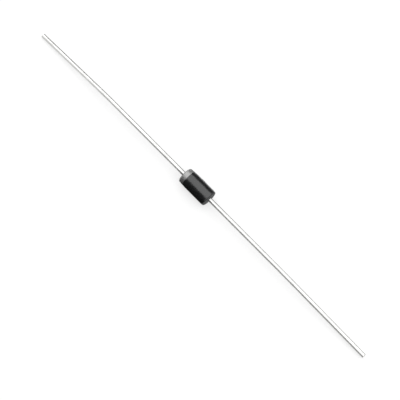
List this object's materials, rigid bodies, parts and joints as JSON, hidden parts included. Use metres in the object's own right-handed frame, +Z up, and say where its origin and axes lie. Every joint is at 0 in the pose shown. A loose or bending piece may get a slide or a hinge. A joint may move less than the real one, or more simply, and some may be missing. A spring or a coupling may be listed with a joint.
{
  "type": "axial rectifier diode",
  "caption": "Black moulded cylinder with a silver cathode band and a long straight tinned lead out of each end.",
  "frame": {"origin": "on the surface that the part lies on, under the middle of the body", "axes": "+X along the leads from cathode to anode, +Z up from the surface, +Y across; both leads bend down a little, and the tip of the cathode lead rests on the surface"},
  "size_m": [0.063, 0.0026, 0.0025],
  "materials": {
    "epoxy": "satin",
    "band_ink": "satin",
    "tinned_wire": "satin",
    "silicon": "gloss",
    "solder": "satin",
    "silicone": "satin"
  },
  "bodies": {
    "root": {"epoxy_body": "epoxy", "cathode_band": "band_ink", "cathode_lead": "tinned_wire", "anode_lead": "tinned_wire", "silicon_die": "silicon", "cathode_solder": "solder", "anode_solder": "solder", "junction_coating": "silicone"}
  },
  "joints": []
}
